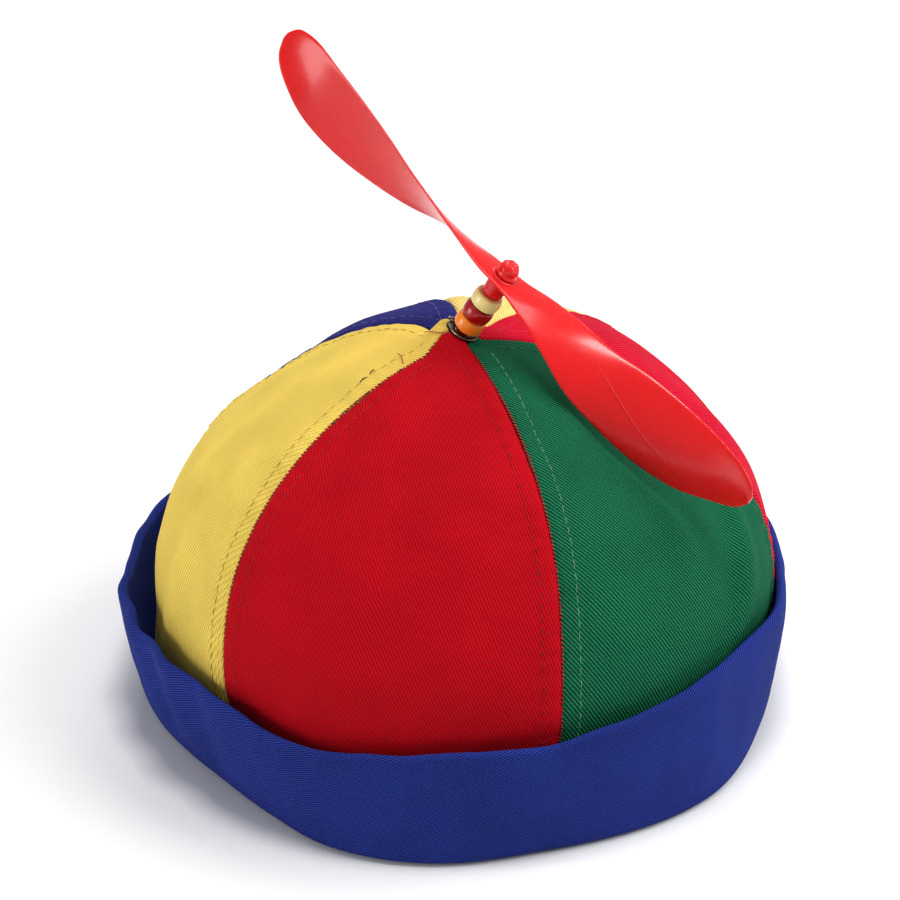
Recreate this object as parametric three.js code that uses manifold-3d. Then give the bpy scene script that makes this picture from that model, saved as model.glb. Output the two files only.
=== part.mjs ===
// Propeller beanie: a soft six-gore cap with a turned-up cuff and a two-blade propeller on a leaning post.
// Millimetres, +Z up. The front of the cap faces -Y and the cuff's bottom fold lies on z = 0.
import * as THREE from 'three';
import { mergeVertices } from 'three/addons/utils/BufferGeometryUtils.js';
import Module from 'manifold-3d';

const wasm = await Module();
wasm.setup();

// Cloth
const clothWall = 1.2;
const runningGap = 0.3;
const seamGap = 0.3;
const cuffGap = 0.6;

// Crown, measured on its outside
const crownHalfWidth = 77;
const crownHalfDepth = 81;
const crownHeight = 95.8;
const crownSway = 2.8;
const crownColumns = 10;
const wallRows = 3;
const domeRows = 13;

// Cuff
const cuffHeight = 32;
const cuffLegWall = 2.4;
const cuffFoldWall = 1.4;
const cuffInnerLeg = 12;
const cuffStandOff = 6;
const cuffFoldRound = 2.2;
const cuffSteps = 72;
const footShapeReach = 1.25;

// Eyelet and wire coil at the top of the crown
const eyeletFlangeRadius = 4.15;
const eyeletHoleRadius = 2.65;
const eyeletBarrelWall = 0.35;
const eyeletFlangeWall = 0.35;
const eyeletGrip = 0.3;
const apexTilt = 28;
const apexLift = 2.4;
const apexTiltReach = 7;
const wireRadius = 0.3;
const coilRadius = 1.95;
const coilTurns = 1.5;
const coilTail = 3;
const coilTailShare = 0.12;
const coilTailClimb = 0.5;
const coilEndTurn = 165;

// Post
const pinRadius = 1.1;
const postLean = 33.9;
const postLeanAzimuth = 72.5;
const retainerRadius = 3.6;
const retainerWall = 1;
const beadRadius = 3.7;
const beadLength = 3.6;
const knobRadius = 2.8;
const knobHeight = 3.8;

// Propeller
const propellerRadius = 80.5;
const bladeChord = 19.8;
const bladeTwist = 108;
const bladeWall = 1.3;
const bladeEdge = 0.5;
const bladeCamber = 1;
const bladeAzimuth = 16.4;
const bladeStations = 15;
const bladeTipCrowding = 1.25;
const camberReach = 0.83;
const collarRadius = 2.9;
const collarLength = 5.4;
const hubBoss = 3.4;

// Six seams, as directions from the middle of the cap at the cuff and at the crown's tip: 0 is the front
// (-Y) and 90 is +X. Each names the panel on its far side.
const seams = [
  { foot: -45, tip: -54, waist: -1, panel: 'panel_red_front', colour: 0xa80a18 },
  { foot: 13.4, tip: 20.9, waist: 2.5, panel: 'panel_green', colour: 0x1d694b },
  { foot: 78, tip: 97, waist: 0, panel: 'panel_red_right', colour: 0xb91826 },
  { foot: 137, tip: 145, waist: 0, panel: 'panel_yellow_back', colour: 0xe4c687 },
  { foot: 197, tip: 180, waist: 0, panel: 'panel_blue', colour: 0x272254 },
  { foot: 256, tip: 212, waist: 7, panel: 'panel_yellow_left', colour: 0xcdac49 },
];

// Sway of the crown towards +X, as a share of the whole sway, at shares of the crown's height
const crownDrift = [
  { height: 0, aside: 0 },
  { height: 0.33, aside: 1 },
  { height: 0.65, aside: 0.8 },
  { height: 1, aside: 1.3 },
];

// Outline of the folded edge: how far it lies outside the plain ellipse, as a share of the crown's half width
const footShape = [
  { azimuth: -95, out: 0.005 },
  { azimuth: -75, out: -0.05 },
  { azimuth: -62, out: -0.09 },
  { azimuth: -50, out: -0.105 },
  { azimuth: -36, out: -0.075 },
  { azimuth: -22, out: -0.012 },
  { azimuth: -5, out: 0.01 },
  { azimuth: 15, out: -0.014 },
  { azimuth: 46, out: 0.038 },
  { azimuth: 70, out: -0.008 },
  { azimuth: 100, out: 0 },
  { azimuth: 180, out: 0 },
];

// Fullness of the dome towards each side: the exponent of its superellipse profile
const domeFullness = [
  { azimuth: 0, power: 2 },
  { azimuth: 60, power: 2 },
  { azimuth: 120, power: 2.15 },
  { azimuth: 200, power: 2 },
  { azimuth: 270, power: 1.95 },
];

// Dents (negative) and swells of the crown: depth as a share of the dome's height, reach in degrees round
// the cap and as a share of the way up from the cuff's fold to the top
const crownDents = [
  { azimuth: 77, height: 0.82, turn: 44, rise: 0.16, depth: -0.084 },
  { azimuth: -6, height: 0.74, turn: 22, rise: 0.08, depth: -0.016 },
  { azimuth: -22, height: 0.56, turn: 16, rise: 0.09, depth: -0.014 },
  { azimuth: 66, height: 0.42, turn: 9, rise: 0.18, depth: 0.016 },
  { azimuth: 48, height: 0.5, turn: 14, rise: 0.2, depth: -0.008 },
  { azimuth: 262, height: 0.3, turn: 9, rise: 0.12, depth: -0.02 },
  { azimuth: 244, height: 0.32, turn: 8, rise: 0.14, depth: 0.014 },
  { azimuth: 235, height: 0.8, turn: 38, rise: 0.2, depth: -0.05 },
  { azimuth: 74, height: 0.86, turn: 28, rise: 0.13, depth: -0.058 },
];

// Cuff at each azimuth: how far its top edge stands off the crown and its band bows out lower down, as
// shares of the largest stand-off, and how much its top edge rises or dips, as a share of its height
const cuffWave = [
  { azimuth: -50, out: 0.5, rise: 0.02, bow: 0.1 },
  { azimuth: -28, out: 0.4, rise: -0.12, bow: 0.1 },
  { azimuth: -6, out: 0.35, rise: -0.02, bow: 0.05 },
  { azimuth: 13, out: 0.3, rise: 0, bow: 0.1 },
  { azimuth: 38, out: 0.3, rise: 0.1, bow: 0.1 },
  { azimuth: 60, out: 0.2, rise: 0.15, bow: 0.1 },
  { azimuth: 90, out: 0.04, rise: 0, bow: 0.05 },
  { azimuth: 135, out: 0.4, rise: 0, bow: 0.1 },
  { azimuth: 190, out: 0.6, rise: 0.01, bow: 0 },
  { azimuth: 235, out: 1, rise: 0, bow: 0.1 },
  { azimuth: 270, out: 1.1, rise: 0.02, bow: 0 },
];

// Blade sections from the hub to the tip: distance along as a share of the propeller's radius, chord and
// the shift of its middle as shares of the largest chord, and twist as a share of the whole twist
const bladeSections = [
  { along: 0, chord: 0.5, twist: 0, shift: 0 },
  { along: 0.06, chord: 0.53, twist: 0.045, shift: 0.01 },
  { along: 0.14, chord: 0.59, twist: 0.165, shift: 0.01 },
  { along: 0.25, chord: 0.67, twist: 0.31, shift: -0.025 },
  { along: 0.38, chord: 0.78, twist: 0.49, shift: -0.085 },
  { along: 0.52, chord: 0.91, twist: 0.62, shift: -0.055 },
  { along: 0.66, chord: 0.97, twist: 0.715, shift: -0.02 },
  { along: 0.8, chord: 0.91, twist: 0.8, shift: 0.05 },
  { along: 0.9, chord: 0.73, twist: 0.89, shift: 0.15 },
  { along: 0.96, chord: 0.53, twist: 0.95, shift: 0.205 },
  { along: 1, chord: 0.13, twist: 1, shift: 0.25 },
];

const radians = THREE.MathUtils.degToRad;
const domeHeight = crownHeight - cuffHeight;

// Value of a table's column at a place, by a smooth curve through its rows
function fromTable(rows, place, placeKey, valueKey) {
  const last = rows.length - 1;
  let row = 0;
  while (row < last - 1 && place > rows[row + 1][placeKey]) row += 1;
  const before = rows[Math.max(row - 1, 0)];
  const low = rows[row];
  const high = rows[row + 1];
  const after = rows[Math.min(row + 2, last)];
  const span = high[placeKey] - low[placeKey];
  const t = THREE.MathUtils.clamp((place - low[placeKey]) / span, 0, 1);
  const slopeLow = (high[valueKey] - before[valueKey]) / (high[placeKey] - before[placeKey]) * span;
  const slopeHigh = (after[valueKey] - low[valueKey]) / (after[placeKey] - low[placeKey]) * span;
  const rise = high[valueKey] - low[valueKey];
  return low[valueKey] + t * slopeLow + t * t * (3 * rise - 2 * slopeLow - slopeHigh)
    + t * t * t * (slopeLow + slopeHigh - 2 * rise);
}

// The same for a table that goes round the cap and closes on itself
function aroundTable(rows, azimuth, valueKey) {
  const first = rows[0].azimuth;
  const turned = first + THREE.MathUtils.euclideanModulo(azimuth - first, 360);
  const before = { ...rows[rows.length - 1], azimuth: rows[rows.length - 1].azimuth - 360 };
  const wrapped = rows.slice(0, 2).map((row) => ({ ...row, azimuth: row.azimuth + 360 }));
  return fromTable([before, ...rows, ...wrapped], turned, 'azimuth', valueKey);
}

// Distance from the middle to an ellipse in a direction round the cap
function ellipseRadius(azimuth, halfWidth, halfDepth) {
  const across = Math.sin(radians(azimuth)) / halfWidth;
  const along = Math.cos(radians(azimuth)) / halfDepth;
  return 1 / Math.hypot(across, along);
}

function direction(azimuth) {
  return new THREE.Vector3(Math.sin(radians(azimuth)), -Math.cos(radians(azimuth)), 0);
}

function angleBetween(first, second) {
  return THREE.MathUtils.euclideanModulo(first - second + 180, 360) - 180;
}

function dentAt(azimuth, height) {
  let depth = 0;
  for (const dent of crownDents) {
    const turn = angleBetween(azimuth, dent.azimuth) / dent.turn;
    const rise = (height / crownHeight - dent.height) / dent.rise;
    depth += dent.depth * domeHeight * Math.exp(-turn * turn - rise * rise);
  }
  return depth;
}

// The eyelet clamps the gores' tips: their edge is a ring round its barrel, tilted towards the post's lean
const barrelRadius = eyeletHoleRadius + eyeletBarrelWall;
const tiltSlope = Math.tan(radians(apexTilt));
const tipRadius = barrelRadius + clothWall * tiltSlope / 2 + runningGap;
const clampRadius = eyeletFlangeRadius + 2 * runningGap;
const apexAside = crownSway * crownDrift[crownDrift.length - 1].aside;
const leanDirection = direction(postLeanAzimuth);

// Angle along the dome's profile at which it has come in to a radius
function profileAngle(radius, rim, power) {
  return Math.acos(Math.pow(radius / rim, power / 2));
}

// Rise of the cloth to the eyelet and its tilt towards the lean, full under the eyelet, level and fading past it
function apexRise(point) {
  const fromApex = new THREE.Vector3(point.x - apexAside, point.y, 0);
  const heldRadius = clampRadius + runningGap;
  const share = 1 - THREE.MathUtils.smoothstep((fromApex.length() - heldRadius) / apexTiltReach, 0, 1);
  return share * (apexLift - tiltSlope * fromApex.clampLength(0, heldRadius).dot(leanDirection));
}

// Sideways place of the crown's outline at a height
function swayAt(height) {
  return crownSway * fromTable(crownDrift, height / crownHeight, 'height', 'aside');
}

// Swell of the outline past its ellipse: the folded edge's own shape, fading out above the cuff, and the dents
function swellAt(azimuth, height) {
  const climb = Math.min(height / (footShapeReach * cuffHeight), 1);
  const foot = crownHalfWidth * aroundTable(footShape, azimuth, 'out') * (1 - climb * (2 - climb));
  return foot + dentAt(azimuth, height) * THREE.MathUtils.smoothstep(height, cuffInnerLeg, cuffHeight);
}

// Point of the crown's cloth: up runs from 0 at its lower edge, through 1 at the cuff's top, to 2 at its tip.
// The last row before the tip lies just outside the eyelet's flange, so the cloth is flat under it.
function crownPoint(azimuth, up, inset) {
  const rim = ellipseRadius(azimuth, crownHalfWidth - inset, crownHalfDepth - inset);
  const power = aroundTable(domeFullness, azimuth, 'power');
  const foot = cuffFoldWall + runningGap;
  let share = 1;
  let height = foot + (cuffHeight - foot) * Math.min(up, 1);
  let normalRise = 0;
  if (up > 1) {
    const climb = (up - 1) * domeRows / (domeRows - 1);
    const angle = climb > 1 ? profileAngle(tipRadius, rim, power) : profileAngle(clampRadius, rim, power) * climb;
    share = Math.pow(Math.cos(angle), 2 / power);
    height = cuffHeight + (domeHeight - inset) * Math.pow(Math.sin(angle), 2 / power);
    normalRise = Math.sin(angle);
  }
  const outward = direction(azimuth);
  const point = outward.clone().multiplyScalar(rim * share);
  point.x += swayAt(height);
  point.z = height;
  const hold = 1 - Math.pow(normalRise, 6);
  const normal = outward.multiplyScalar(Math.sqrt(1 - normalRise * normalRise));
  normal.z = normalRise;
  point.addScaledVector(normal, swellAt(azimuth, height) * hold);
  point.z += apexRise(point);
  return point;
}

function geometryFrom(points, faces) {
  const geometry = new THREE.BufferGeometry();
  const positions = new Float32Array(points.flatMap((point) => [point.x, point.y, point.z]));
  geometry.setAttribute('position', new THREE.BufferAttribute(positions, 3));
  geometry.setIndex(faces);
  return geometry;
}

// Closed wall between two grids of points: outer faces away from the middle, inner is the cloth's other side
function wallGeometry(columns, rows, outerPoint, innerPoint) {
  const points = [];
  const faces = [];
  const across = columns + 1;
  for (const place of [outerPoint, innerPoint]) {
    for (let row = 0; row <= rows; row += 1) {
      for (let column = 0; column <= columns; column += 1) points.push(place(column, row));
    }
  }
  const innerStart = across * (rows + 1);
  const quad = (a, b, c, d) => faces.push(a, b, c, a, c, d);
  for (let row = 0; row < rows; row += 1) {
    for (let column = 0; column < columns; column += 1) {
      const low = row * across + column;
      const high = low + across;
      quad(low, low + 1, high + 1, high);
      quad(innerStart + low + 1, innerStart + low, innerStart + high, innerStart + high + 1);
    }
  }
  for (let column = 0; column < columns; column += 1) {
    const top = rows * across + column;
    quad(innerStart + column, innerStart + column + 1, column + 1, column);
    quad(top, top + 1, innerStart + top + 1, innerStart + top);
  }
  for (let row = 0; row < rows; row += 1) {
    const left = row * across;
    const right = left + columns;
    quad(innerStart + left, left, left + across, innerStart + left + across);
    quad(right, innerStart + right, innerStart + right + across, right + across);
  }
  return geometryFrom(points, faces);
}

// Direction of a seam at a place up the cloth
function seamAt(seam, up) {
  const waist = seam.waist * Math.pow(Math.sin(Math.PI * THREE.MathUtils.clamp(up - 1, 0, 1)), 2);
  return THREE.MathUtils.lerp(seam.foot, seam.tip, Math.pow(up / 2, 2)) + waist;
}

// One gore: its sides stop half a seam gap short of the seam lines
function goreGeometry(first, second) {
  const rows = wallRows + domeRows;
  const place = (column, row, inset) => {
    const up = row < wallRows ? row / wallRows : 1 + (row - wallRows) / domeRows;
    const from = seamAt(first, up);
    const to = seamAt(second, up);
    const middle = crownPoint((from + to) / 2, up, inset);
    const reach = Math.hypot(middle.x - apexAside, middle.y);
    const edge = THREE.MathUtils.radToDeg(seamGap / 2 / reach);
    const azimuth = THREE.MathUtils.mapLinear(column, 0, crownColumns, from + edge, to - edge);
    return crownPoint(azimuth, up, inset);
  };
  const outer = (column, row) => place(column, row, 0);
  const inner = (column, row) => place(column, row, clothWall);
  return wallGeometry(crownColumns, rows, outer, inner);
}

// Cuff section: a narrow leg inside the crown, a flat fold under it and a doubled leg outside.
// out is measured from the crown's outer face at its lower edge, up from the floor.
function cuffSection(azimuth) {
  const standOff = cuffStandOff * aroundTable(cuffWave, azimuth, 'out');
  const bow = cuffStandOff * aroundTable(cuffWave, azimuth, 'bow');
  const top = cuffHeight * (1 + aroundTable(cuffWave, azimuth, 'rise'));
  const legInside = cuffGap;
  const legOutside = cuffGap + cuffLegWall;
  const innerNear = -clothWall - cuffGap;
  const innerFar = innerNear - clothWall;
  const lean = (up) => {
    const share = THREE.MathUtils.clamp((up - cuffFoldWall) / (top - cuffFoldWall), 0, 1);
    return standOff * share + bow * Math.sin(Math.PI * share);
  };
  const roundUp = top - cuffLegWall / 2;
  const half = cuffLegWall / 2;
  return [
    { out: innerFar, up: cuffInnerLeg },
    { out: innerFar, up: cuffFoldRound },
    { out: innerFar + cuffFoldRound / 2, up: 0 },
    { out: legOutside - cuffFoldRound, up: 0 },
    { out: legOutside - cuffFoldRound / 3, up: cuffFoldRound / 3 },
    { out: legOutside, up: cuffFoldRound },
    { out: legOutside + lean(top * 0.35), up: top * 0.35 },
    { out: legOutside + lean(top * 0.68), up: top * 0.68 },
    { out: legOutside + lean(roundUp), up: roundUp },
    { out: legInside + half * 1.7 + lean(top), up: top - half * 0.3 },
    { out: legInside + half + lean(top), up: top },
    { out: legInside + half * 0.3 + lean(top), up: top - half * 0.3 },
    { out: legInside + lean(roundUp), up: roundUp },
    { out: legInside + lean(top * 0.5), up: top * 0.5 },
    { out: legInside, up: cuffFoldWall },
    { out: innerNear, up: cuffFoldWall },
    { out: innerNear, up: cuffInnerLeg },
  ];
}

// Closed ring of sections round the cap
function cuffGeometry() {
  const points = [];
  const faces = [];
  let count = 0;
  for (let step = 0; step < cuffSteps; step += 1) {
    const azimuth = step * 360 / cuffSteps;
    const section = cuffSection(azimuth);
    count = section.length;
    const rim = ellipseRadius(azimuth, crownHalfWidth, crownHalfDepth);
    for (const corner of section) {
      const point = direction(azimuth).multiplyScalar(rim + swellAt(azimuth, corner.up) + corner.out);
      point.x += swayAt(corner.up);
      point.z = corner.up;
      points.push(point);
    }
  }
  for (let step = 0; step < cuffSteps; step += 1) {
    const next = (step + 1) % cuffSteps;
    for (let corner = 0; corner < count; corner += 1) {
      const after = (corner + 1) % count;
      const a = step * count + corner;
      const b = next * count + corner;
      const c = next * count + after;
      const d = step * count + after;
      faces.push(a, b, c, a, c, d);
    }
  }
  return geometryFrom(points, faces);
}

function latheGeometry(profile, sides) {
  const closed = [...profile, profile[0]].map(([radius, along]) => new THREE.Vector2(radius, along));
  const geometry = new THREE.LatheGeometry(closed, sides);
  geometry.rotateX(Math.PI / 2);
  return geometry;
}

// Frames at the top of the crown: the eyelet follows the tilted cloth, the post has its own lean
const apexCloth = new THREE.Vector3(apexAside, 0, crownHeight + apexLift - clothWall / 2);
const upright = new THREE.Vector3(0, 0, 1);
const leanPivot = upright.clone().cross(leanDirection);
const eyeletAxis = upright.clone().applyAxisAngle(leanPivot, radians(apexTilt));
const postAxis = upright.clone().applyAxisAngle(leanPivot, radians(postLean));
const coilTilt = radians(postLean - apexTilt);

function alongPost(distance) {
  return apexCloth.clone().addScaledVector(postAxis, distance);
}

// Heights along the post, from the middle of the cloth upwards
const eyeletReach = clothWall / 2 + eyeletGrip + eyeletFlangeWall;
const coilPitch = 2 * wireRadius + runningGap / 2;
const tailHeight = eyeletReach + runningGap / 2 + wireRadius - coilRadius * Math.sin(coilTilt);
const coilStart = tailHeight - coilTailClimb - coilPitch * coilTurns;
const beadStart = tailHeight + wireRadius + runningGap;
const beadStep = beadLength + runningGap;
const collarStart = beadStart + 3 * beadStep;
const hubHeight = collarStart + collarLength;
const knobStart = hubHeight + bladeWall / 2 + runningGap;
const retainerTop = -(eyeletReach + runningGap + retainerRadius * Math.sin(coilTilt)) / Math.cos(coilTilt);

function colouredMesh(name, geometry, colour, roughness, metalness) {
  const material = new THREE.MeshStandardMaterial({ color: colour, roughness, metalness });
  const mesh = new THREE.Mesh(geometry, material);
  mesh.name = name;
  return mesh;
}

// Sets a mesh whose own +Z is its axis at a place along an axis of the cap
function placeOnAxis(mesh, place, axis) {
  mesh.position.copy(place);
  mesh.quaternion.setFromUnitVectors(upright, axis);
  return mesh;
}

function eyeletGeometry() {
  const near = clothWall / 2 + eyeletGrip;
  return latheGeometry([
    [eyeletHoleRadius, -eyeletReach],
    [eyeletFlangeRadius, -eyeletReach],
    [eyeletFlangeRadius, -near],
    [barrelRadius, -near],
    [barrelRadius, near],
    [eyeletFlangeRadius, near],
    [eyeletFlangeRadius - eyeletFlangeWall, eyeletReach],
    [eyeletHoleRadius, eyeletReach],
  ], 24);
}

// The wire's centre line: turns round the post with a short free end
class CoilCurve extends THREE.Curve {
  getPoint(t, target = new THREE.Vector3()) {
    const turn = t * coilTurns;
    const angle = 2 * Math.PI * (turn - coilTurns) + radians(coilEndTurn);
    const free = Math.max(t - 1 + coilTailShare, 0) / coilTailShare;
    const radius = coilRadius + coilTail * free * free;
    const climb = coilTailClimb * THREE.MathUtils.smoothstep(t, 1 - 2.2 * coilTailShare, 1 - 0.7 * coilTailShare);
    return target.set(radius * Math.cos(angle), radius * Math.sin(angle), coilPitch * turn + climb);
  }
}

function coilGeometry() {
  const wire = new THREE.Shape();
  wire.absarc(0, 0, wireRadius, 0, 2 * Math.PI);
  return new THREE.ExtrudeGeometry(wire, {
    curveSegments: 6,
    steps: 44,
    extrudePath: new CoilCurve(),
  });
}

function beadGeometry() {
  const hole = pinRadius + runningGap;
  const end = beadLength * 0.12;
  const face = beadRadius * 0.82;
  return latheGeometry([
    [hole, 0],
    [face, 0],
    [beadRadius * 0.95, end],
    [beadRadius, beadLength * 0.35],
    [beadRadius, beadLength * 0.65],
    [beadRadius * 0.95, beadLength - end],
    [face, beadLength],
    [hole, beadLength],
  ], 16);
}

// Pin with the knob on top and the retaining disc below, along +Z from the middle of the cloth
function axleGeometry() {
  const profile = [
    [0, retainerTop - retainerWall],
    [retainerRadius, retainerTop - retainerWall],
    [retainerRadius, retainerTop],
    [pinRadius, retainerTop],
    [pinRadius, knobStart],
    [knobRadius * 0.95, knobStart],
    [knobRadius, knobStart + knobHeight * 0.2],
    [knobRadius * 0.82, knobStart + knobHeight * 0.35],
    [knobRadius * 0.88, knobStart + knobHeight * 0.7],
    [knobRadius * 0.6, knobStart + knobHeight],
    [0, knobStart + knobHeight * 0.9],
  ].map(([radius, along]) => new THREE.Vector2(radius, along));
  const geometry = new THREE.LatheGeometry(profile, 14);
  geometry.rotateX(Math.PI / 2);
  return geometry;
}

function toManifold(geometry) {
  const plain = geometry.clone();
  plain.deleteAttribute('normal');
  plain.deleteAttribute('uv');
  const merged = mergeVertices(plain, 1e-4);
  const mesh = new wasm.Mesh({
    numProp: 3,
    vertProperties: new Float32Array(merged.attributes.position.array),
    triVerts: new Uint32Array(merged.index.array),
  });
  return new wasm.Manifold(mesh);
}

function fromManifold(solid) {
  const mesh = solid.getMesh();
  const geometry = new THREE.BufferGeometry();
  geometry.setAttribute('position', new THREE.BufferAttribute(new Float32Array(mesh.vertProperties), 3));
  geometry.setIndex(new THREE.BufferAttribute(new Uint32Array(mesh.triVerts), 1));
  return geometry;
}

// Places across a blade, as shares of half its chord
const chordPlaces = [-1, -0.6, -0.2, 0.2, 0.6, 1];

// Blade section at a signed distance from the hub; the other blade is the same one turned half round.
// Here X runs out along the blade, Y across it and Z along the post.
function bladeRing(signed) {
  const share = Math.abs(signed);
  const side = Math.sign(signed) || 1;
  const chord = bladeChord * fromTable(bladeSections, share, 'along', 'chord');
  const shift = bladeChord * fromTable(bladeSections, share, 'along', 'shift');
  const twist = radians(bladeTwist) * fromTable(bladeSections, share, 'along', 'twist');
  const camber = bladeCamber * Math.sin(Math.PI * Math.min(share / camberReach, 1) / 2) * chord / bladeChord;
  const ring = [];
  const corner = (place, face) => {
    const across = chord / 2 * place;
    const wall = THREE.MathUtils.lerp(bladeEdge, bladeWall, 1 - place * place) / 2;
    const bulge = camber * (1 - place * place) + wall * face * side;
    const y = side * (Math.cos(twist) * (across + shift) - Math.sin(twist) * bulge);
    const z = Math.sin(twist) * (across + shift) + Math.cos(twist) * bulge;
    return new THREE.Vector3(propellerRadius * signed, y, z);
  };
  const order = side > 0 ? chordPlaces : [...chordPlaces].reverse();
  for (const place of order) ring.push(corner(place, side > 0 ? -1 : 1));
  for (const place of [...order].reverse()) ring.push(corner(place, side > 0 ? 1 : -1));
  return ring;
}

function bladesGeometry() {
  const points = [];
  const faces = [];
  let count = 0;
  for (let station = -bladeStations; station <= bladeStations; station += 1) {
    const share = station / bladeStations;
    const eased = Math.sign(share) * (1 - Math.pow(1 - Math.abs(share), bladeTipCrowding));
    const ring = bladeRing(eased);
    count = ring.length;
    points.push(...ring);
  }
  const rings = 2 * bladeStations + 1;
  for (let ring = 0; ring < rings - 1; ring += 1) {
    for (let corner = 0; corner < count; corner += 1) {
      const after = (corner + 1) % count;
      const a = ring * count + corner;
      const b = ring * count + after;
      faces.push(a, b, b + count, a, b + count, a + count);
    }
  }
  const last = (rings - 1) * count;
  for (let corner = 1; corner < count - 1; corner += 1) {
    faces.push(0, corner + 1, corner);
    faces.push(last, last + corner, last + corner + 1);
  }
  return geometryFrom(points, faces);
}

function propellerGeometry() {
  const core = pinRadius / 2;
  const collar = latheGeometry([
    [core, -collarLength],
    [collarRadius * 0.86, -collarLength],
    [collarRadius, -bladeWall],
    [hubBoss, 0],
    [hubBoss * 0.9, bladeWall / 2],
    [core, bladeWall / 2],
  ], 16);
  const bore = new THREE.CylinderGeometry(pinRadius + runningGap, pinRadius + runningGap, 4 * collarLength, 16);
  bore.rotateX(Math.PI / 2);
  const solid = toManifold(bladesGeometry()).add(toManifold(collar)).subtract(toManifold(bore));
  return fromManifold(solid);
}

// Turn of the propeller about the post: its blades point down the lean, then round by the blade azimuth
function propellerFrame() {
  const downhill = leanPivot.clone().cross(postAxis);
  const out = downhill.multiplyScalar(Math.cos(radians(bladeAzimuth)));
  out.addScaledVector(leanPivot, -Math.sin(radians(bladeAzimuth)));
  const across = postAxis.clone().cross(out);
  return new THREE.Matrix4().makeBasis(out, across, postAxis);
}

const cap = new THREE.Group();
seams.forEach((seam, index) => {
  const turned = index === seams.length - 1 ? 360 : 0;
  const following = seams[(index + 1) % seams.length];
  const next = { ...following, foot: following.foot + turned, tip: following.tip + turned };
  cap.add(colouredMesh(seam.panel, goreGeometry(seam, next), seam.colour, 0.9, 0));
});
cap.add(colouredMesh('cuff', cuffGeometry(), 0x2a3a86, 0.9, 0));
cap.add(placeOnAxis(colouredMesh('eyelet', eyeletGeometry(), 0xa9a59c, 0.35, 1), apexCloth, eyeletAxis));
cap.add(placeOnAxis(colouredMesh('foot_coil', coilGeometry(), 0xb8b4aa, 0.3, 1), alongPost(coilStart), postAxis));
cap.add(placeOnAxis(colouredMesh('axle', axleGeometry(), 0xdd3838, 0.35, 0), apexCloth, postAxis));

const beads = [
  { name: 'bead_orange', colour: 0xde702f },
  { name: 'bead_red', colour: 0xa5070b },
  { name: 'bead_cream', colour: 0xdfc77d },
];
beads.forEach((bead, index) => {
  const place = alongPost(beadStart + index * beadStep);
  cap.add(placeOnAxis(colouredMesh(bead.name, beadGeometry(), bead.colour, 0.3, 0), place, postAxis));
});

const propeller = colouredMesh('propeller', propellerGeometry(), 0xd42b2e, 0.3, 0);
propeller.quaternion.setFromRotationMatrix(propellerFrame());
propeller.position.copy(alongPost(hubHeight));
cap.add(propeller);

// The middle of the whole outline stands over the origin
const middle = new THREE.Box3().setFromObject(cap, true).getCenter(new THREE.Vector3());
cap.position.set(-middle.x, -middle.y, 0);

export default cap;
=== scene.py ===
import math
import random
import bpy
import numpy as np
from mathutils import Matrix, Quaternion, Vector


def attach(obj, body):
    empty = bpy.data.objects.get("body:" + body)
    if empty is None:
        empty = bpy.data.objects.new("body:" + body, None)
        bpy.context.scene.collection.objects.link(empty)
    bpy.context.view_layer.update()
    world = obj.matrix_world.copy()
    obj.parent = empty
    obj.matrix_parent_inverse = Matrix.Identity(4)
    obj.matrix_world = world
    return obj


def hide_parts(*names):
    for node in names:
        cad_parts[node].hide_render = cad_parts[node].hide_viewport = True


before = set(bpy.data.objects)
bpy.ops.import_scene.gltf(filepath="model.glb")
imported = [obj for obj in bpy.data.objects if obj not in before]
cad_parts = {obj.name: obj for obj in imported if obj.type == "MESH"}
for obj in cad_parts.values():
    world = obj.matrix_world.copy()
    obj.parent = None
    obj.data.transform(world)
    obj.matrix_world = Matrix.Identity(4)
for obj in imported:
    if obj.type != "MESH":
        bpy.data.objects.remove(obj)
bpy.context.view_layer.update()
mm = 0.001  # sizes below are millimetres and degrees, and meshes are made in metres

# The camera first: it stands in front of the cap and looks down on it
camera = {
    "distance": 950, "elevation": 30, "roll": 1.5, "lens": 152,
    "aim": (0.05, 14.65, 57.4), "target": (0, -0.6, 31),
}


def makeCamera():
    tilt = math.radians(camera["elevation"])
    back = Vector((0, -math.cos(tilt), math.sin(tilt)))
    place = (Vector(camera["target"]) + back * camera["distance"]) * mm
    data = bpy.data.cameras.new("photoCamera")
    data.lens = camera["lens"]
    data.sensor_width = 36
    data.clip_start, data.clip_end = 0.05, 20
    view = bpy.data.objects.new("photoCamera", data)
    bpy.context.scene.collection.objects.link(view)
    view.location = place
    look = (Vector(camera["aim"]) * mm - place).to_track_quat("-Z", "Y")
    view.rotation_mode = "QUATERNION"
    view.rotation_quaternion = look @ Quaternion((0, 0, 1), -math.radians(camera["roll"]))
    bpy.context.scene.camera = view


makeCamera()
print("camera placed")

# The cap's own sizes, the same as the solids have
cap = {
    "wall": 1.2, "halfWidth": 77, "halfDepth": 81, "height": 95.8, "sway": 2.8,
    "middle": (0.0135, 0.5968), "tilt": 28, "lift": 2.4, "tiltReach": 7, "flange": 4.15, "gap": 0.3,
    "lean": 33.9, "leanAzimuth": 72.5,
}
cuff = {
    "height": 32, "legWall": 2.4, "foldWall": 1.4, "innerLeg": 12, "standOff": 6,
    "foldRound": 2.2, "gap": 0.6, "shapeReach": 1.25,
}
domeHeight = cap["height"] - cuff["height"]

# seam: direction at the lower edge, direction at the tip (0 is the front, 90 is +X), how far its middle bows
seams = [(-45, -54, -1), (13.4, 20.9, 2.5), (78, 97, 0), (137, 145, 0), (197, 180, 0), (256, 212, 7)]
# height share, sway share
crownDrift = [(0, 0), (0.33, 1), (0.65, 0.8), (1, 1.3)]
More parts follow.
